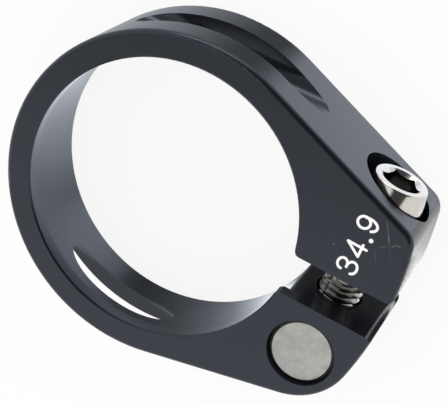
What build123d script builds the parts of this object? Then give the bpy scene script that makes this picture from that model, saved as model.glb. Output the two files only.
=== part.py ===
from build123d import *
import os
from math import cos, radians, sin, sqrt, tan

# Seatpost clamp: a split collar that one bolt closes by pulling on a barrel nut.
# Millimetres and degrees. The origin is on the bore's axis at half the collar's height. +Z points
# up through the lip, +X through the ears, and +Y along the bolt towards its head.

# Ring
bore_d = 34.9  # seat tube that the collar closes on
ring_wall = 2.05  # metal round the bore
height = 13.4
lip_depth = 1.05  # how far the lip stands in from the bore
lip_t = 1.7  # thickness of the lip, which sits on the end of the tube
lip_break = 0.2  # chamfer of the lip's upper edge
lead_in = 0.9  # chamfer at the bore's lower mouth
edge_round = 0.6  # rounding of the outline's edges, above and below

# Ears
flat_angle = 17.8  # lean of each ear's outer flat, which runs off the ring as a tangent
end_wall = 2.14  # metal between the nut's hole and the end of the ears
end_r = 46.0  # crown of the ears' end
end_shift = 0.6  # how far the crown's highest point lies towards the bolt's head
head_corner_r = 2.4  # corner of the ear that takes the bolt's head
nut_corner_r = 8.0  # fuller corner of the ear that holds the nut

# Split
split_w = 4.9
split_offset = 0.55  # the cut's middle lies this far to the nut's side of the bore's axis
split_turn = 3.9  # turn of the cut against the square of the bolt
split_corner_r = 0.8  # rounding of the upright corners that the cut leaves

# Relief slots, each one straight pass of a cutter with a fully rounded nose
slot_w = 4.25
slot_depth = 3.75  # from the outside of the ring to the floor of the cut
slot_turn = 4.8  # how far behind the ring's widest point each cut is centred
slot_rise = 0.22  # height of the cut's middle above the collar's

# Barrel nut
nut_d = 7.9
nut_length = 12.4
nut_chamfer = 0.45
nut_wall = 1.7  # metal left round the nut's hole, towards the bore and towards the split

# Bolt
bolt_d = 5.0
bolt_length = 20.0  # under the head
tip_chamfer = 0.6
head_d = 8.5
head_top_d = 6.3
head_h = 5.1
head_land = 0.6  # straight stretch at the foot of the tapered head
head_round = 0.25
seat_wall = 5.65  # metal between the split and the head's seat
hex_af = 4.0  # across the flats of the socket
hex_depth = 2.6
hex_entry_d = 4.9  # mouth of the socket's lead-in
hex_turn = 2.0  # turn of the socket as the bolt stands here
drill_angle = 59.0  # half angle of the socket's drilled bottom

# Clearances, all of them on the radius apart from the seat and the tip
nut_play = 0.05
thread_play = 0.05
hole_play = 0.3
head_play = 0.25
seat_gap = 0.1  # head just short of its seat
tip_room = 0.3  # past the end of the bolt

# Sizes that follow from those above
bore_r = bore_d / 2
ring_r = bore_r + ring_wall
lip_r = bore_r - lip_depth
top_z = height / 2
bolt_r = bolt_d / 2
hole_r = bolt_r + hole_play
nut_r = nut_d / 2
nut_hole_r = nut_r + nut_play
turn = radians(split_turn)
lean = radians(flat_angle)

# The nut's axis, first square to the split and then turned with it
nut_down = split_offset + split_w / 2 + nut_wall + nut_hole_r
nut_out = sqrt((bore_r + nut_wall + nut_hole_r) ** 2 - nut_down**2)
bolt_x = nut_out * cos(turn) + nut_down * sin(turn)
nut_y = nut_out * sin(turn) - nut_down * cos(turn)
ear_reach = bolt_x + nut_hole_r + end_wall

# Places along the bolt
split_top_y = bolt_x * tan(turn) + (split_w / 2 - split_offset) / cos(turn)
seat_y = split_top_y + seat_wall
head_foot_y = seat_y + seat_gap
tip_y = head_foot_y - bolt_length


def along_bolt(y):
    """Plane square to the bolt at this height, its normal towards the head."""
    return Plane(origin=(bolt_x, y, 0), x_dir=(1, 0, 0), z_dir=(0, 1, 0))


def rod(radius, low_y, high_y):
    """Round bar on the bolt's axis between two heights."""
    return extrude(along_bolt(low_y) * Circle(radius), high_y - low_y)


def round_corner(sheet, side, radius):
    """Rounds the outermost corner of the ears on one side of the X axis."""
    corner = sheet.vertices().filter_by(lambda v: v.Y * side > 0).sort_by(Axis.X)[-1]
    return fillet(corner, radius)


def outline():
    """Plan of the collar: the ring with two flats that leave it as tangents, and the crowned end."""
    touch_x, touch_y = ring_r * sin(lean), ring_r * cos(lean)
    far_x, far_y = touch_x + ear_reach * cos(lean), touch_y - ear_reach * sin(lean)
    wedge = make_face(
        Polyline(
            (0, 0), (touch_x, touch_y), (far_x, far_y), (far_x, -far_y), (touch_x, -touch_y), close=True
        )
    )
    ears = wedge & Pos(ear_reach - end_r, end_shift) * Circle(end_r)
    ears = round_corner(ears, 1, head_corner_r)
    ears = round_corner(ears, -1, nut_corner_r)
    return Circle(ring_r) + ears


def bore_cutter():
    """Inside of the ring from the lead-in at the bottom to the lip at the top."""
    section = Plane.XZ * make_face(
        Polyline(
            (0, -top_z),
            (bore_r + lead_in, -top_z),
            (bore_r, -top_z + lead_in),
            (bore_r, top_z - lip_t),
            (lip_r, top_z - lip_t),
            (lip_r, top_z - lip_break),
            (lip_r + lip_break, top_z),
            (0, top_z),
            close=True,
        )
    )
    return revolve(section, Axis.Z)


def on_split(place):
    """True for an edge or corner that lies on either face of the split."""
    middle = place.center()
    across = middle.Y * cos(turn) - middle.X * sin(turn) + split_offset
    return abs(abs(across) - split_w / 2) < 0.001


def split_outline():
    """Plan of the collar with the split cut through the ears, its outer corners rounded."""
    strip = Pos(ear_reach, -split_offset) * Rectangle(2 * ear_reach, split_w)
    sheet = outline() - Rot(0, 0, split_turn) * strip
    corners = sheet.vertices().filter_by(on_split).filter_by(lambda v: v.X > bolt_x)
    return fillet(corners, split_corner_r)


def slot_cutter():
    """Long bar with a rounded nose, set across the flank on the side of the bolt's head."""
    nose_r = slot_w / 2
    bar_length = 4 * ring_r
    nose = Rot(0, 90, 0) * Cylinder(nose_r, bar_length)
    bar = nose + Pos(0, ring_r / 2, 0) * Box(bar_length, ring_r, slot_w)
    return Rot(0, 0, slot_turn) * Pos(0, ring_r - slot_depth + nose_r, slot_rise) * bar


def make_collar():
    blank = Pos(0, 0, -top_z) * extrude(outline(), height)
    faces = blank.faces().sort_by(Axis.Z)
    blank = fillet(faces[0].edges() + faces[-1].edges(), edge_round)
    body = blank & extrude(split_outline(), height, both=True)
    body -= bore_cutter()
    inner = body.edges().filter_by(Axis.Z).filter_by(on_split).filter_by(lambda e: e.center().X < ring_r)
    body = fillet(inner, split_corner_r)
    # Relief slots in both flanks
    slot = slot_cutter()
    body -= slot
    body -= mirror(slot, about=Plane.XZ)
    # Cross hole for the nut, and the bolt's way to it from the split
    body -= Pos(bolt_x, nut_y, 0) * Cylinder(nut_hole_r, 2 * height)
    body -= rod(hole_r, min(tip_y - tip_room, nut_y), split_top_y)
    # Clearance hole and counterbore in the upper ear
    body -= rod(hole_r, split_top_y - split_corner_r, seat_y)
    body -= rod(head_d / 2 + head_play, seat_y, seat_y + 2 * head_h)
    return body


def make_bolt():
    """Tapered head with a hexagon socket, shank and chamfered tip, first along +Z from the head's foot."""
    half_section = Plane.XZ * make_face(
        Polyline(
            (0, -bolt_length),
            (bolt_r - tip_chamfer, -bolt_length),
            (bolt_r, -bolt_length + tip_chamfer),
            (bolt_r, 0),
            (head_d / 2, 0),
            (head_d / 2, head_land),
            (head_top_d / 2, head_h),
            (0, head_h),
            close=True,
        )
    )
    bolt = revolve(half_section, Axis.Z)
    bolt = fillet(bolt.edges().filter_by(GeomType.CIRCLE).sort_by(Axis.Z)[-1], head_round)
    hexagon = Pos(0, 0, head_h) * Rot(0, 0, hex_turn) * RegularPolygon(hex_af / 2, 6, major_radius=False)
    bolt -= extrude(hexagon, -hex_depth)
    # Drilled bottom of the socket, and the lead-in at its mouth
    drill_h = hex_af / 2 / tan(radians(drill_angle))
    bolt -= Pos(0, 0, head_h - hex_depth - drill_h / 2) * Cone(0.01, hex_af / 2, drill_h)
    mouth_r = hex_entry_d / 2
    bolt -= Pos(0, 0, head_h - mouth_r / 2) * Cone(0.01, mouth_r, mouth_r)
    return along_bolt(head_foot_y).location * bolt


def make_nut():
    nut = Cylinder(nut_r, nut_length)
    nut = chamfer(nut.edges().filter_by(GeomType.CIRCLE), nut_chamfer)
    nut = Pos(bolt_x, nut_y, 0) * nut
    return nut - rod(bolt_r + thread_play, nut_y - nut_d, nut_y + nut_d)


os.makedirs("parts", exist_ok=True)
pieces = {"clamp_collar": make_collar(), "clamp_bolt": make_bolt(), "barrel_nut": make_nut()}
for name, piece in pieces.items():
    export_step(piece, f"parts/{name}.step")
print("bolt axis x", round(bolt_x, 3), "nut y", round(nut_y, 3), "ears reach", round(ear_reach, 3))
print("head's seat y", round(seat_y, 3), "bolt tip y", round(tip_y, 3))
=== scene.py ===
# %% [markdown]
# # Seatpost clamp
# A split collar of black anodised aluminium closes on a bicycle's seat tube. One polished socket
# bolt crosses the split and pulls on a round barrel nut in the other ear. The solid model of these
# three pieces is the frame of this scene: each part stays where it is and gets its finish here. Only
# the bolt is made again, with a thread, and the size that is printed on the ear is added.

# %% Load the solids
from math import atan2, cos, hypot, pi, radians, sin, tan

import bmesh
import bpy
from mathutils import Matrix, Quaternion, Vector


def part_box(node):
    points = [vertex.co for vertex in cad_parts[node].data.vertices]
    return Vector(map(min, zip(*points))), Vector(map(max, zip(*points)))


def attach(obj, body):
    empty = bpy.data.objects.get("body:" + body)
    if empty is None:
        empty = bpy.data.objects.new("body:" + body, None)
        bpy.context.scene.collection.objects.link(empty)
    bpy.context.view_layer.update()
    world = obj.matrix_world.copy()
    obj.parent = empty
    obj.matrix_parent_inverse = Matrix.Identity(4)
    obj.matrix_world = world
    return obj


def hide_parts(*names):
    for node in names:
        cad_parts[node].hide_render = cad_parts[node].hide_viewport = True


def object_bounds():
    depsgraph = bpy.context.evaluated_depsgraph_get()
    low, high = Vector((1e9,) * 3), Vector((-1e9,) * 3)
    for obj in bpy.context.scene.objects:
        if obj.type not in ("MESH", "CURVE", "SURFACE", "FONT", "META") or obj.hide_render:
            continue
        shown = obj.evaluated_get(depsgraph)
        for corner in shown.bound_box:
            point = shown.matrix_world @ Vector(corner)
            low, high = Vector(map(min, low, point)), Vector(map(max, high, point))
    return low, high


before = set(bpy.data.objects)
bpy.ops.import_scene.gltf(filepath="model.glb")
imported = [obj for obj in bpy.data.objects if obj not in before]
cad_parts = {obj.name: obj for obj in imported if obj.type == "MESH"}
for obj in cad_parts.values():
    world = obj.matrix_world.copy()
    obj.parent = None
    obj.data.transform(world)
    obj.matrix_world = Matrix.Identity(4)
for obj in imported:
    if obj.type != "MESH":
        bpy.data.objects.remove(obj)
cad_low, cad_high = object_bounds()
mm = 0.001
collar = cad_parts["clamp_collar"]
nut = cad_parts["barrel_nut"]
print("solids:", sorted(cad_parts), "size in mm:", [round(v / mm, 2) for v in cad_high - cad_low])

# %% [markdown]
# ## Camera
# The clamp lies flat and is seen from above its bolt head, with a long lens. The camera could be
# turned by three angles, but a place, a point that it looks at and a roll are easier to read and to
# change. The roll is large because the picture turns the ears to the lower right.

# %% Camera
camera_place = Vector((30.635, 71.421, 134.127)) * mm
camera_target = Vector((5.437, 0.564, 0.0)) * mm
camera_roll = 131.57  # degrees, to the right
camera_lens = 107.2  # focal length, for the sensor below
sensor_width = 36.0
nearest_seen = 10 * mm

camera_data = bpy.data.cameras.new("camera")
camera_data.lens = camera_lens
camera_data.sensor_fit = "HORIZONTAL"
camera_data.sensor_width = sensor_width
camera_data.clip_start = nearest_seen
camera = bpy.data.objects.new("camera", camera_data)
camera.location = camera_place
level_view = (camera_target - camera_place).to_track_quat("-Z", "Y")
camera.rotation_mode = "QUATERNION"
camera.rotation_quaternion = level_view @ Quaternion((0, 0, 1), -radians(camera_roll))
bpy.context.scene.collection.objects.link(camera)
bpy.context.scene.camera = camera
print("camera is", round((camera_target - camera_place).length / mm), "mm from the clamp")

# %% [markdown]
# ## Colours and nodes
# Colours are picked as sRGB hex values, as a paint program shows them, and the shaders want them
# linear. One function converts them. Another adds a node with its settings and its inputs, which are
# either plain values or links from other nodes, so that a material reads as a short list.

# %% Colour and node helpers
noise_range = {"From Min": 0.3, "From Max": 0.7}  # nearly all of a noise lies in it
colour_a, colour_b, mixed = 6, 7, 2  # a mix node's sockets for colours, which share names with others


def linear(hex_colour):
    """Linear RGBA of an sRGB hex colour."""
    channels = [int(hex_colour[i : i + 2], 16) / 255 for i in (1, 3, 5)]
    return [c / 12.92 if c <= 0.04045 else ((c + 0.055) / 1.055) ** 2.4 for c in channels] + [1.0]


def add(tree, kind, inputs=None, **settings):
    """Adds a node, with its settings, and fills its inputs with values or links."""
    node = tree.nodes.new(kind)
    for name, value in settings.items():
        setattr(node, name, value)
    for socket, value in (inputs or {}).items():
        if isinstance(value, bpy.types.NodeSocket):
            tree.links.new(value, node.inputs[socket])
        else:
            node.inputs[socket].default_value = value
    return node


def new_material(name):
    """Material without nodes, and its node tree."""
    material = bpy.data.materials.new(name)
    material.use_nodes = True
    material.node_tree.nodes.clear()
    return material, material.node_tree


def per_metre(size_mm):
    """Scale of a texture whose features are this many millimetres apart."""
    return 1.0 / (size_mm * mm)


print("helpers ready, mid grey is", [round(c, 3) for c in linear("#808080")])

# %% [markdown]
# ## Light
# A small black part on a white ground is photographed in a tent of white cloth. Lamps alone could
# light it, but they would show as spots, so the world itself is an even white, and the floor is white
# paper. The paper has light of its own for the camera and for reflections, which leaves a faint
# shadow. One low softbox on the side of the bolt's head draws thin bright lines along the edges.

# %% Tent and softbox
cool_white = "#f0f6ff"
plain_white = "#ffffff"
softbox_place = Vector((-110, 380, 60)) * mm
softbox_size = (300 * mm, 120 * mm)
softbox_watts = 0.40

bpy.context.scene.view_settings.view_transform = "Standard"
world = bpy.data.worlds.new("white_tent")
world.use_nodes = True
bpy.context.scene.world = world
tree = world.node_tree
tree.nodes.clear()
cloth = add(tree, "ShaderNodeBackground", {"Color": linear(plain_white), "Strength": 1.0})
add(tree, "ShaderNodeOutputWorld", {"Surface": cloth.outputs[0]})

lamp = bpy.data.lights.new("edge_softbox", "AREA")
lamp.shape = "RECTANGLE"
lamp.size, lamp.size_y = softbox_size
lamp.energy = softbox_watts
softbox = bpy.data.objects.new("edge_softbox", lamp)
softbox.location = softbox_place
softbox.rotation_euler = (-softbox_place).to_track_quat("-Z", "Y").to_euler()
bpy.context.scene.collection.objects.link(softbox)
print("white tent, and one softbox", round(softbox_place.length / mm), "mm away")


# %% Floor
def oblong(x0, y0, x1, y1):
    """Corners of an oblong between two opposite ones."""
    return [(x0, y0), (x1, y0), (x1, y1), (x0, y1)]


def stage_sheet(name, corners, material):
    """Flat sheet outside the object, with its corners in metres."""
    mesh = bpy.data.meshes.new(name)
    mesh.from_pydata(corners, [], [range(len(corners))])
    mesh.materials.append(material)
    sheet = bpy.data.objects.new(name, mesh)
    bpy.context.scene.collection.objects.link(sheet)
    return sheet


floor_z = cad_low.z
floor_half = 2000 * mm
own_light = 0.88  # share of the floor's white that no shadow dims

paper, tree = new_material("white_paper_sheet")
path = add(tree, "ShaderNodeLightPath").outputs
seen = path["Is Camera Ray"]
for ray in ("Is Glossy Ray", "Is Transmission Ray"):
    seen = add(tree, "ShaderNodeMath", {0: seen, 1: path[ray]}, operation="MAXIMUM").outputs[0]
share = add(tree, "ShaderNodeMath", {0: seen, 1: own_light}, operation="MULTIPLY")
shaded = add(tree, "ShaderNodeBsdfDiffuse", {"Color": linear("#fafafa")})
glow = add(tree, "ShaderNodeEmission", {"Color": linear(plain_white), "Strength": 1.0})
both = add(tree, "ShaderNodeMixShader", {0: share.outputs[0], 1: shaded.outputs[0], 2: glow.outputs[0]})
add(tree, "ShaderNodeOutputMaterial", {"Surface": both.outputs[0]})
floor_outline = oblong(-floor_half, -floor_half, floor_half, floor_half)
stage_sheet("floor", [(x, y, floor_z) for x, y in floor_outline], paper)
print("floor at z", round(floor_z / mm, 2), "mm")

# %% [markdown]
# ## Cards
# What a satin black surface shows is mostly what stands round it. Here glowing cards, which
# reflections alone see, paint that. A black one round the lens and a graded one beside it hang
# overhead, and the graded one paints a graded reflection on the top faces. Others lie on the floor by
# the flank, in the bore and by the ears and paint pale and dark reflections, so that the walls run
# from pale to dark. The dark cards under the split and by the nut paint the reflection of shade on
# the floor. Graded tones turn round a pivot, as the reflections of a round part do. A world painted
# by direction could do the same, but a card is a thing that can be moved.


# %% Card maker
def round_outline(radius, corners):
    """Corners of a round card about its own middle."""
    turns = [2 * pi * k / corners for k in range(corners)]
    return [(radius * cos(turn), radius * sin(turn)) for turn in turns]


def turning_light(tree, pivot, tones):
    """Light that turns round a pivot in mm, by tones: each a bearing in degrees and a light."""
    brightest = max(light for _, light in tones)
    place = add(tree, "ShaderNodeTexCoord").outputs["Object"]
    middle = Vector((*pivot, 0)) * mm
    place = add(tree, "ShaderNodeVectorMath", {0: place, 1: middle}, operation="SUBTRACT").outputs[0]
    around = add(tree, "ShaderNodeTexGradient", {"Vector": place}, gradient_type="RADIAL")
    grade = add(tree, "ShaderNodeValToRGB", {"Fac": around.outputs["Fac"]})
    stops = grade.color_ramp.elements
    stops.remove(stops[1])
    for k, (bearing, light) in enumerate(tones):
        position = bearing / 360 + 0.5
        stop = stops.new(position) if k else stops[0]
        stop.position = position
        stop.color = [light / brightest] * 3 + [1.0]
    level = add(tree, "ShaderNodeMath", {0: grade.outputs["Color"], 1: brightest}, operation="MULTIPLY")
    return level.outputs[0]


def card(name, colour, corners, pivot, light):
    """Card that only reflections see. An even one has no pivot and one light, a graded one has tones."""
    material, tree = new_material(name)
    strength = light if pivot is None else turning_light(tree, pivot, light)
    glow = add(tree, "ShaderNodeEmission", {"Color": linear(colour), "Strength": strength})
    add(tree, "ShaderNodeOutputMaterial", {"Surface": glow.outputs[0]})
    sheet = stage_sheet(name, corners, material)
    sheet.visible_camera = False
    sheet.visible_diffuse = False
    sheet.visible_shadow = False


print("an oblong card 20 by 10 mm has its corners at", oblong(0, 0, 20, 10))

# %% Outlines of the floor cards
by_flank = [
    (-26, 0), (-18.8, 0), (-16, 10), (-9, 16.5), (0, 18.6),
    (8, 17.7), (27.5, 12), (31, 16), (31, 30), (-26, 30),
]
bore_card_r = 17.3  # just inside the bore
in_bore = round_outline(bore_card_r, corners=48)
under_split = oblong(12.0, -2.5, 27.9, 5.0)
# The cards by the nut and by the ears meet along one line
ears_seam = [(27.9, 2.4), (29.6, -4.5), (30.0, -4.5), (30.0, 4.6), (37, 4.6)]
by_nut = [(27.6, -13), (37, -13), *reversed(ears_seam), (27.6, 2.4)]
by_ears = [*ears_seam, (37, 11.5), (27.9, 11.5)]
print("corners by the flank, the nut and the ears:", len(by_flank), len(by_nut), len(by_ears))

# %% Tones of the floor cards
# These tones paint pale and dark reflections on the walls: each a bearing in degrees and a light
flank_tones = [
    (-180, 0.75), (-160, 0.85), (5, 1.47), (40, 1.33), (66, 1.26), (76, 1.02), (90, 0.50),
    (104, 0.26), (126, 0.27), (143, 0.45), (161, 0.67), (170, 0.73), (180, 0.75),
]
bore_tones = [
    (-180, 1.66), (-168, 1.34), (-160, 1.21), (-152, 1.58), (-142, 1.87), (-118, 1.92), (-107, 1.63),
    (-95, 1.25), (-84, 0.53), (-74, 0.29), (-62, 0.34), (-45, 0.50), (-32, 0.74), (-23, 1.0),
    (-16, 1.7), (-7, 2.9), (-1, 2.9), (4, 0.4), (100, 0.4), (150, 1.88), (177, 1.72),
]
ear_tones = [(-60, 2.6), (-20, 2.5), (-9, 2.0), (2, 1.9), (10, 1.5), (20, 1.15), (45, 1.0)]
print("tones by the flank, in the bore and by the ears:", len(flank_tones), len(bore_tones), len(ear_tones))

# %% Cards on the floor
card_lift = 0.04  # each card lies this much higher than the one before
# Each card has a name, a colour, an outline, a pivot if it is graded, and its light
# The graded cards paint pale and dark reflections on the walls
floor_cards = [
    ("painted_reflection_card_by_the_flank", cool_white, by_flank, (4.0, 14.5), flank_tones),
    ("painted_reflection_card_in_the_bore", cool_white, in_bore, (-3.1, -7.8), bore_tones),
    # Painted shade: these two dark cards stand for shade on the floor, seen in reflections
    ("painted_shade_card_under_the_split", plain_white, under_split, None, 0.14),
    ("painted_shade_card_by_the_nut", plain_white, by_nut, None, 0.05),
    ("painted_reflection_card_by_the_ears", plain_white, by_ears, (20, 3), ear_tones),
]
for k, (name, colour, outline, pivot, light) in enumerate(floor_cards):
    z = floor_z + (k + 1) * card_lift * mm
    card(name, colour, [(x * mm, y * mm, z) for x, y in outline], pivot, light)
print(len(floor_cards), "cards on the floor")

# %% Card overhead
# This graded card paints a graded reflection on the top faces
roof_z = 128
roof_pivot = (114, -14)
roof_tones = [(-180, 0.6), (-171, 0.72), (-160, 1.05), (-150, 1.13), (-120, 1.2), (180, 0.6)]
roof_corners = [Vector((x, y, roof_z)) * mm for x, y in oblong(-130, -170, 90, 0)]
card("painted_reflection_card_overhead", plain_white, roof_corners, roof_pivot, roof_tones)
print("graded card", roof_z, "mm up")

# %% Card round the lens
lens_bearing = radians(68)
lens_rise = radians(45)
lens_card_far = 300  # from the middle of the bore
lens_card_half_angle = radians(48)  # as seen from there
lens_card_ears_side = 0.80  # the round card is cut narrower towards the ears
lens_tones = [(92, 0.06), (135, 1.0)]  # black, and fading into the white tent towards the ring

lens_card_r = lens_card_far * tan(lens_card_half_angle)
level_way = Vector((cos(lens_bearing), sin(lens_bearing), 0)) * cos(lens_rise)
lens_way = level_way + Vector((0, 0, sin(lens_rise)))
facing = lens_way.to_track_quat("Z", "Y")
lens_corners = []
for x, y in round_outline(lens_card_r, corners=64):
    across = x * lens_card_ears_side if x < 0 else x
    lens_corners.append((lens_way * lens_card_far + facing @ Vector((across, y, 0))) * mm)
card("black_card_round_the_lens", plain_white, lens_corners, (0, 0), lens_tones)
print("card round the lens,", round(2 * lens_card_r), "mm high")

# %% [markdown]
# ## Collar: satin black anodised aluminium
# The collar is cut from bar, blasted with fine beads and anodised black. The dye sits in a clear
# oxide skin, so the eye sees a near-black body under a satin dielectric gloss, not a bare metal: dull
# from above and pale at low angles. A noise nearly as fine as the blasting lifts the skin a little and
# varies its gloss, and a slow one varies the dye. A few handling scratches near the end of the ear,
# and one speck, are soft ellipses in the plane of the top face: that is cheaper than cutting them in.

# %% Scratches
top_z = cad_high.z / mm
scratch_reach = 0.3  # of each ellipse, above and below the top face
# Each scratch runs from one place to another on the top face, in mm, and has a width and a strength
scratches = [
    ((22.90, 12.50), (24.10, 10.80), 0.12, 0.30),
    ((23.75, 11.30), (24.75, 9.72), 0.13, 0.55),
    ((24.82, 9.70), (25.30, 10.42), 0.13, 0.42),
    ((25.05, 10.26), (25.90, 10.44), 0.13, 0.36),
    ((23.60, 8.80), (24.70, 10.00), 0.12, 0.24),
    ((23.25, 9.06), (24.47, 7.05), 0.12, 0.16),
    ((24.70, 9.85), (25.65, 8.26), 0.12, 0.14),
    ((19.4, 6.55), (19.4, 6.85), 0.30, 0.26),
]
print(len(scratches) - 1, "scratches and one speck")

# %% Anodised finish
bead_grain = 0.22  # blasting grain, drawn about twice as coarse as it is so that it shows
dye_patch = 7.0

anodised, tree = new_material("black_anodised_aluminium_bead_blasted")
place = add(tree, "ShaderNodeTexCoord").outputs["Object"]
grain = add(tree, "ShaderNodeTexNoise", {"Vector": place, "Scale": per_metre(bead_grain), "Detail": 2.0})
patch = add(tree, "ShaderNodeTexNoise", {"Vector": place, "Scale": per_metre(dye_patch), "Detail": 3.0})
dye = add(
    tree,
    "ShaderNodeMix",
    {"Factor": patch.outputs["Fac"], colour_a: linear("#0f1014"), colour_b: linear("#17181e")},
    data_type="RGBA",
)
bare = 0.0
for (x0, y0), (x1, y1), width, strength in scratches:
    middle = Vector(((x0 + x1) / 2, (y0 + y1) / 2, top_z)) * mm
    half = Vector((hypot(x1 - x0, y1 - y0) / 2, width / 2, scratch_reach)) * mm
    turn = (0, 0, atan2(y1 - y0, x1 - x0))
    ellipse = {"Vector": place, "Location": middle, "Rotation": turn, "Scale": half}
    spot = add(tree, "ShaderNodeMapping", ellipse, vector_type="TEXTURE")
    fade = add(tree, "ShaderNodeTexGradient", {"Vector": spot.outputs[0]}, gradient_type="SPHERICAL")
    worn = add(tree, "ShaderNodeMath", {0: fade.outputs["Fac"], 1: strength}, operation="MULTIPLY")
    bare = add(tree, "ShaderNodeMath", {0: worn.outputs[0], 1: bare}, operation="MAXIMUM").outputs[0]
skin = add(
    tree,
    "ShaderNodeMix",
    {"Factor": bare, colour_a: dye.outputs[mixed], colour_b: linear("#a4a6aa")},
    data_type="RGBA",
)
gloss = add(
    tree,
    "ShaderNodeMapRange",
    {"Value": grain.outputs["Fac"], **noise_range, "To Min": 0.19, "To Max": 0.27},
)
lift = add(tree, "ShaderNodeBump", {"Height": grain.outputs["Fac"], "Strength": 0.12, "Distance": 0.02 * mm})
shell = add(
    tree,
    "ShaderNodeBsdfPrincipled",
    {
        "Base Color": skin.outputs[mixed],
        "Metallic": 0.0,
        "IOR": 1.54,
        "Specular Tint": linear("#e4eeff"),
        "Roughness": gloss.outputs[0],
        "Normal": lift.outputs[0],
    },
)
add(tree, "ShaderNodeOutputMaterial", {"Surface": shell.outputs[0]})
collar.data.materials.clear()
collar.data.materials.append(anodised)
print("collar finish", anodised.name)

# %% [markdown]
# ## Barrel nut: turned and tumbled steel
# The nut is a slice of steel bar. Its face is flat, pale and dull, with soft blotches from tumbling
# and a tiny dimple that the lathe left in the middle. It is bare metal, so the colour of its
# reflection is the colour of the steel, and roughness does the rest. The blotches are a coarse noise
# in the colour, and a fine one varies the roughness and the height. The dimple could be cut into the
# mesh, but it is so shallow that the bump is enough. It is placed on the nut's own axis.

# %% Nut finish
nut_low, nut_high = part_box("barrel_nut")
nut_middle = (nut_low + nut_high) / 2
tumble_blotch = 1.1
tumble_grain = 0.25
dimple_size = 0.45
dimple_depth = 1.5  # in heights of the grain
blotch_tints = [(0.35, "#a9a9a5"), (0.65, "#b9b9b4")]

tumbled, tree = new_material("steel_turned_and_tumbled")
place = add(tree, "ShaderNodeTexCoord").outputs["Object"]
blotch = add(tree, "ShaderNodeTexNoise", {"Vector": place, "Scale": per_metre(tumble_blotch), "Detail": 3.0})
grit = add(tree, "ShaderNodeTexNoise", {"Vector": place, "Scale": per_metre(tumble_grain), "Detail": 2.0})
tint = add(tree, "ShaderNodeValToRGB", {"Fac": blotch.outputs["Fac"]})
for stop, (position, colour) in zip(tint.color_ramp.elements, blotch_tints):
    stop.position = position
    stop.color = linear(colour)
# A column along the nut's axis, so long that only the distance from the axis counts
column = Vector((dimple_size / 2 * mm, dimple_size / 2 * mm, 1.0))
centred = add(
    tree,
    "ShaderNodeMapping",
    {"Vector": place, "Location": nut_middle, "Scale": column},
    vector_type="TEXTURE",
)
dimple = add(tree, "ShaderNodeTexGradient", {"Vector": centred.outputs[0]}, gradient_type="SPHERICAL")
relief = add(
    tree,
    "ShaderNodeMath",
    {0: dimple.outputs["Fac"], 1: -dimple_depth, 2: grit.outputs["Fac"]},
    operation="MULTIPLY_ADD",
)
dull = add(
    tree,
    "ShaderNodeMapRange",
    {"Value": grit.outputs["Fac"], **noise_range, "To Min": 0.42, "To Max": 0.56},
)
lift = add(tree, "ShaderNodeBump", {"Height": relief.outputs[0], "Strength": 0.35, "Distance": 0.03 * mm})
steel = add(
    tree,
    "ShaderNodeBsdfPrincipled",
    {
        "Base Color": tint.outputs["Color"],
        "Metallic": 1.0,
        "Roughness": dull.outputs[0],
        "Normal": lift.outputs[0],
    },
)
add(tree, "ShaderNodeOutputMaterial", {"Surface": steel.outputs[0]})
nut.data.materials.clear()
nut.data.materials.append(tumbled)
print("nut finish", tumbled.name, "with its middle at", [round(v / mm, 2) for v in nut_middle], "mm")

# %% [markdown]
# ## Bolt: a real thread and a socket
# The solid bolt has a plain shank, because a thread is too fine for it. In the split the thread
# shows, so the bolt is made again with the same sizes. A screw modifier could sweep a tooth, but it
# leaves open ends. Here a grid is wrapped round the axis instead: each row of the thread climbs one
# pitch in a turn, so the ridges follow the helix, and rows that would pass the ends are held there.
# The head goes on as plain rings, and in the socket a ring's radius follows the hexagon.

# %% Bolt sizes
bolt_low, bolt_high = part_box("clamp_bolt")
bolt_x = (bolt_low.x + bolt_high.x) / 2 / mm
bolt_z = (bolt_low.z + bolt_high.z) / 2 / mm
tip_y = bolt_low.y / mm
top_y = bolt_high.y / mm
head_r = (bolt_high.x - bolt_low.x) / 2 / mm
head_h = 5.1
head_land = 0.6
head_top_r = 3.15
head_round = 0.25
round_steps = 6
shank_r = 2.5
root_r = 2.03
pitch = 0.8
tip_chamfer = 0.6
neck_length = 1.0
socket_across = 4.0
socket_depth = 2.6
socket_mouth_r = 2.45
socket_turn = radians(2.0)
socket_drill = radians(59.0)
foot_y = top_y - head_h
neck_y = foot_y - neck_length
segments = 96  # a multiple of six, so that the socket's corners fall on the grid
# One tooth: how far along the pitch, and how high between root and crest
tooth = [(0.0, 1.0), (0.125, 1.0), (0.41, 0.1), (0.49, 0.0), (0.635, 0.0), (0.715, 0.1)]
print("bolt axis x", round(bolt_x, 3), "from y", round(tip_y, 2), "to", round(top_y, 2))


# %% Places on the bolt
def on_bolt(radius, step, y):
    """Point at a radius and a step round the bolt's axis, in metres."""
    angle = socket_turn + 2 * pi * step / segments
    return Vector((bolt_x + radius * cos(angle), y, bolt_z - radius * sin(angle))) * mm


def thread_point(row, step):
    """Place on the thread's surface: rows follow the helix, steps go round it."""
    pitches, part = divmod(row, len(tooth))
    along, rise = tooth[part]
    y = max(tip_y + (pitches - 1 + along + step / segments) * pitch, tip_y)
    if y >= neck_y:
        return on_bolt(root_r, step, neck_y)
    crest_here = min(shank_r, shank_r - tip_chamfer + y - tip_y)
    return on_bolt(min(root_r + rise * (shank_r - root_r), crest_here), step, y)


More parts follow.
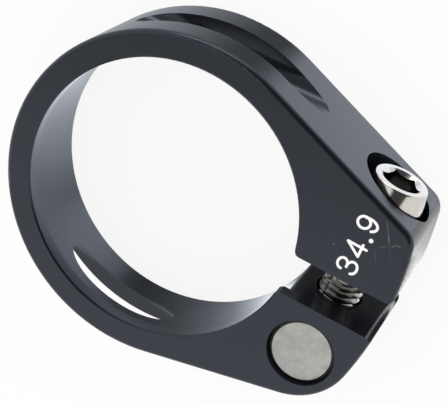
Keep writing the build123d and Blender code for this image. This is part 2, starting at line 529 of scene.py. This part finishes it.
def head_rings():
    """Rings from the neck over the head to the socket's floor, each a radius and a height by step."""
    lean = atan2(head_r - head_top_r, head_h - head_land)
    round_r = head_top_r - head_round * (1 - sin(lean)) / cos(lean)
    plain = [(root_r, neck_y), (shank_r, neck_y + shank_r - root_r), (shank_r, foot_y)]
    plain += [(head_r, foot_y), (head_r, foot_y + head_land)]
    for k in range(round_steps + 1):
        way = lean + (pi / 2 - lean) * k / round_steps
        plain.append((round_r + head_round * cos(way), top_y - head_round + head_round * sin(way)))
    plain.append((socket_mouth_r, top_y))
    off_flat = [(2 * pi * step / segments) % (pi / 3) - pi / 6 for step in range(segments)]
    walls = [socket_across / 2 / cos(angle) for angle in off_flat]
    rings = [[ring] * segments for ring in plain]
    rings.append([(r, top_y - socket_mouth_r + r) for r in walls])
    rings.append([(r, top_y - socket_depth) for r in walls])
    rings.append([(socket_across / 2, top_y - socket_depth)] * segments)
    return rings


print("head and socket in", len(head_rings()), "rings")

# %% Thread and head as one mesh
head_slot, thread_slot, socket_slot = 0, 1, 2
socket_rings = 3  # the last rings of the head are the socket's
spare_pitches = 4  # so that the rows pass both ends of the thread
merge_distance = 0.0005 * mm

bolt_shape = bmesh.new()
rows = len(tooth) * (int((neck_y - tip_y) / pitch) + spare_pitches)
thread = [[bolt_shape.verts.new(thread_point(row, step)) for step in range(segments)] for row in range(rows)]
for row in range(rows - len(tooth) - 1):
    for step in range(segments):
        after = step + 1
        up = 0
        if after == segments:
            after, up = 0, len(tooth)
        upper = row + 1
        corners = (thread[row][step], thread[row + up][after], thread[upper + up][after], thread[upper][step])
        bolt_shape.faces.new(corners).material_index = thread_slot
rings = [
    [bolt_shape.verts.new(on_bolt(r, step, y)) for step, (r, y) in enumerate(ring)] for ring in head_rings()
]
for k, (lower, upper) in enumerate(zip(rings, rings[1:])):
    for step in range(segments):
        after = (step + 1) % segments
        face = bolt_shape.faces.new((lower[step], lower[after], upper[after], upper[step]))
        face.material_index = socket_slot if k >= len(rings) - socket_rings else head_slot
drill_y = top_y - socket_depth - socket_across / 2 / tan(socket_drill)
drill_tip = bolt_shape.verts.new(on_bolt(0, 0, drill_y))
for step in range(segments):
    corners = (rings[-1][step], rings[-1][(step + 1) % segments], drill_tip)
    bolt_shape.faces.new(corners).material_index = socket_slot
tip = [bolt_shape.verts.new(on_bolt(shank_r - tip_chamfer, step, tip_y)) for step in range(segments)]
bolt_shape.faces.new(tip).material_index = thread_slot
bmesh.ops.remove_doubles(bolt_shape, verts=bolt_shape.verts[:], dist=merge_distance)
loose = [vertex for vertex in bolt_shape.verts if not vertex.link_faces]
bmesh.ops.delete(bolt_shape, geom=loose, context="VERTS")
bmesh.ops.recalc_face_normals(bolt_shape, faces=bolt_shape.faces[:])
open_edges = sum(1 for edge in bolt_shape.edges if not edge.is_manifold)
print("bolt has", len(bolt_shape.faces), "faces and", open_edges, "open edges")

# %% Bolt in its place
sharp_angle = radians(32)
bolt_mesh = bpy.data.meshes.new("bolt_threaded")
bolt_shape.to_mesh(bolt_mesh)
bolt_shape.free()
bolt_mesh.shade_smooth()
bolt_mesh.set_sharp_from_angle(angle=sharp_angle)
bolt = bpy.data.objects.new("bolt_threaded", bolt_mesh)
bpy.context.scene.collection.objects.link(bolt)
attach(bolt, "bolt")
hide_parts("clamp_bolt")
print(bolt.name, "stands for the plain bolt")

# %% [markdown]
# ## Bolt: polished stainless steel
# Stainless steel is a slightly warm grey metal. Polishing leaves it like a mirror with a trace of
# haze, so the head shows the white tent and the black collar as sharp patches. An even roughness would
# do for the haze, but a real one isn't even, so a fine noise varies it. A very weak bump stands for
# what the polishing wheel left behind.

# %% Polished finish
polish_trace = 0.35
polished, tree = new_material("stainless_steel_polished")
place = add(tree, "ShaderNodeTexCoord").outputs["Object"]
trace = add(tree, "ShaderNodeTexNoise", {"Vector": place, "Scale": per_metre(polish_trace), "Detail": 3.0})
haze = add(
    tree,
    "ShaderNodeMapRange",
    {"Value": trace.outputs["Fac"], **noise_range, "To Min": 0.10, "To Max": 0.18},
)
lift = add(tree, "ShaderNodeBump", {"Height": trace.outputs["Fac"], "Strength": 0.06, "Distance": 0.01 * mm})
tint = add(
    tree,
    "ShaderNodeMix",
    {"Factor": trace.outputs["Fac"], colour_a: linear("#c9c4bd"), colour_b: linear("#d6d2cc")},
    data_type="RGBA",
)
mirror = add(
    tree,
    "ShaderNodeBsdfPrincipled",
    {
        "Base Color": tint.outputs[mixed],
        "Metallic": 1.0,
        "Roughness": haze.outputs[0],
        "Normal": lift.outputs[0],
    },
)
add(tree, "ShaderNodeOutputMaterial", {"Surface": mirror.outputs[0]})
bolt_mesh.materials.append(polished)
print("bolt finish", polished.name)

# %% [markdown]
# ## Bolt: the rolled thread and the pressed socket
# The polishing wheel reaches neither the thread nor the socket. They stay as they were rolled and
# pressed: a darker steel, smooth but patchy. The socket's colour is darker still, which is painted
# shade in the recess. The two could be one material with a mask, but they meet nowhere, so one
# function makes a finish for each.

# %% Rolled and pressed finishes
steel_patch = 0.35


def darkened_steel(name, dark, pale):
    """Stainless steel darker than the polished head, with patches from a dark to a pale colour."""
    material, tree = new_material(name)
    place = add(tree, "ShaderNodeTexCoord").outputs["Object"]
    patchiness = add(tree, "ShaderNodeTexNoise", {"Vector": place, "Scale": per_metre(steel_patch), "Detail": 3.0})
    tint = add(
        tree,
        "ShaderNodeMix",
        {"Factor": patchiness.outputs["Fac"], colour_a: linear(dark), colour_b: linear(pale)},
        data_type="RGBA",
    )
    smooth = add(
        tree,
        "ShaderNodeMapRange",
        {"Value": patchiness.outputs["Fac"], **noise_range, "To Min": 0.12, "To Max": 0.18},
    )
    steel = add(
        tree,
        "ShaderNodeBsdfPrincipled",
        {"Base Color": tint.outputs[mixed], "Metallic": 1.0, "Roughness": smooth.outputs[0]},
    )
    add(tree, "ShaderNodeOutputMaterial", {"Surface": steel.outputs[0]})
    return material


bolt_mesh.materials.append(darkened_steel("stainless_steel_rolled_and_darkened", "#92908c", "#aaa8a4"))
# The socket's darker colours are painted shade in the recess
bolt_mesh.materials.append(darkened_steel("stainless_steel_pressed_with_painted_shade", "#7c7a76", "#8e8c88"))
print("thread and socket finishes:", [material.name for material in bolt_mesh.materials[1:]])

# %% [markdown]
# ## Bore size on the ear
# The bore's diameter in millimetres is printed on the upper ear in white, in strokes of even width
# with round ends. A text object would bring its own letter shapes, so each figure is drawn as lines
# and arcs, and every stroke becomes a flat band on the top face, one to three hundredths of a
# millimetre thick. The number reads along the bolt, and its upper edge is on the bore's side.

# %% Figures as strokes
arc_steps = 28


def arc(middle_x, middle_y, radius_x, radius_y, first, last):
    """Points along an ellipse between two angles in degrees."""
    angles = [radians(first + (last - first) * k / arc_steps) for k in range(arc_steps + 1)]
    return [Vector((middle_x + radius_x * cos(a), middle_y + radius_y * sin(a))) for a in angles]


# Places are in mm along the base line and above it
three = arc(0.77, 1.72, 0.66, 0.54, 185, -90) + [Vector((0.57, 1.18))]
three_bowl = arc(0.75, 0.59, 0.73, 0.59, 90, -170)
four_side = [Vector((3.42, 2.22)), Vector((2.30, 0.56))]
four_bar = [Vector((2.30, 0.56)), Vector((3.80, 0.56))]
four_stem = [Vector((3.44, 2.22)), Vector((3.44, 0.02))]
dot_r = 0.25
dot = arc(4.68, 0.03, dot_r, dot_r, 0, 360)[:-1]
nine_bowl = arc(6.22, 1.56, 0.69, 0.71, 0, 360)[:-1]
nine_tail = arc(6.21, 1.10, 0.70, 1.10, 25, -146)
open_strokes = [three, three_bowl, four_side, four_bar, four_stem, nine_tail]
print(len(open_strokes), "open strokes, a closed bowl and a dot")

# %% Figures as bands
mark_start = Vector((22.96, 4.6))  # start of the base line on the top face
mark_turn = radians(2.5)
mark_stroke = 0.30
mark_thickness = 0.012
mark_layer = 0.002  # each stroke ends this much above the one before, so that no two faces meet
cap_angles = range(-75, 76, 15)  # degrees, round the end of a stroke
reading = Vector((-sin(mark_turn), cos(mark_turn)))
upward = Vector((-cos(mark_turn), -sin(mark_turn)))
mark_shape = bmesh.new()


def on_ear(point):
    """Corner of a band on the ear's top face, from its place along and above the base line."""
    x, y = mark_start + reading * point.x + upward * point.y
    return mark_shape.verts.new(Vector((x, y, top_z)) * mm)


def band(points, closed):
    """Faces of a flat band along the points, with round ends where it is open."""
    count = len(points)
    left, right = [], []
    for k, here in enumerate(points):
        before = points[k - 1] if closed or k > 0 else here
        after = points[(k + 1) % count] if closed or k < count - 1 else here
        way = (after - before).normalized()
        side = Vector((-way.y, way.x)) * mark_stroke / 2
        left.append(on_ear(here + side))
        right.append(on_ear(here - side))
    faces = []
    for k in range(count if closed else count - 1):
        after = (k + 1) % count
        faces.append(mark_shape.faces.new((left[k], right[k], right[after], left[after])))
    if closed:
        return faces
    for end, near, first, last in ((0, 1, left, right), (-1, -2, right, left)):
        out = points[end] - points[near]
        bearing = atan2(out.y, out.x)
        turns = [bearing + radians(a) for a in cap_angles]
        cap = [on_ear(points[end] + Vector((cos(a), sin(a))) * mark_stroke / 2) for a in turns]
        faces.append(mark_shape.faces.new((first[end], last[end], *reversed(cap))))
    return faces


flat_bands = [band(points, False) for points in open_strokes]
flat_bands.append(band(nine_bowl, True))
flat_bands.append([mark_shape.faces.new([on_ear(point) for point in dot])])
print(len(flat_bands), "flat bands")

# %% Mark on the ear
# The walls go up one by one, because an extrusion lists its faces in another order on each run
for layer, faces in enumerate(flat_bands):
    rise = Vector((0, 0, mark_thickness + layer * mark_layer)) * mm
    rim = [edge.verts[:] for face in faces for edge in face.edges if edge.is_boundary]
    corners = dict.fromkeys(corner for face in faces for corner in face.verts)
    above = {corner: mark_shape.verts.new(corner.co + rise) for corner in corners}
    for face in faces:
        mark_shape.faces.new([above[corner] for corner in face.verts])
    for start, end in rim:
        mark_shape.faces.new((start, end, above[end], above[start]))
bmesh.ops.recalc_face_normals(mark_shape, faces=mark_shape.faces[:])
mark_mesh = bpy.data.meshes.new("bore_size_mark")
mark_shape.to_mesh(mark_mesh)
mark_shape.free()
mark = bpy.data.objects.new("bore_size_mark", mark_mesh)
bpy.context.scene.collection.objects.link(mark)
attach(mark, "collar")
print("mark has", len(mark_mesh.polygons), "faces")

# %% [markdown]
# ## Mark: white printing ink
# Pad printing lays down a thin coat of epoxy ink: an even, slightly creamy white with a soft shine. A
# plain white would look like a sticker, so a fine noise stands for the uneven coat. The ink's IOR is
# that of most lacquers.

# %% Ink finish
ink_grain = 0.3
ink, tree = new_material("white_epoxy_ink_pad_printed")
place = add(tree, "ShaderNodeTexCoord").outputs["Object"]
coat = add(tree, "ShaderNodeTexNoise", {"Vector": place, "Scale": per_metre(ink_grain), "Detail": 2.0})
white = add(
    tree,
    "ShaderNodeMix",
    {"Factor": coat.outputs["Fac"], colour_a: linear("#f6f6f4"), colour_b: linear("#fdfdfc")},
    data_type="RGBA",
)
lift = add(tree, "ShaderNodeBump", {"Height": coat.outputs["Fac"], "Strength": 0.1, "Distance": 0.01 * mm})
lacquer = add(
    tree,
    "ShaderNodeBsdfPrincipled",
    {"Base Color": white.outputs[mixed], "Roughness": 0.45, "IOR": 1.5, "Normal": lift.outputs[0]},
)
add(tree, "ShaderNodeOutputMaterial", {"Surface": lacquer.outputs[0]})
mark_mesh.materials.append(ink)
print("mark finish", ink.name)
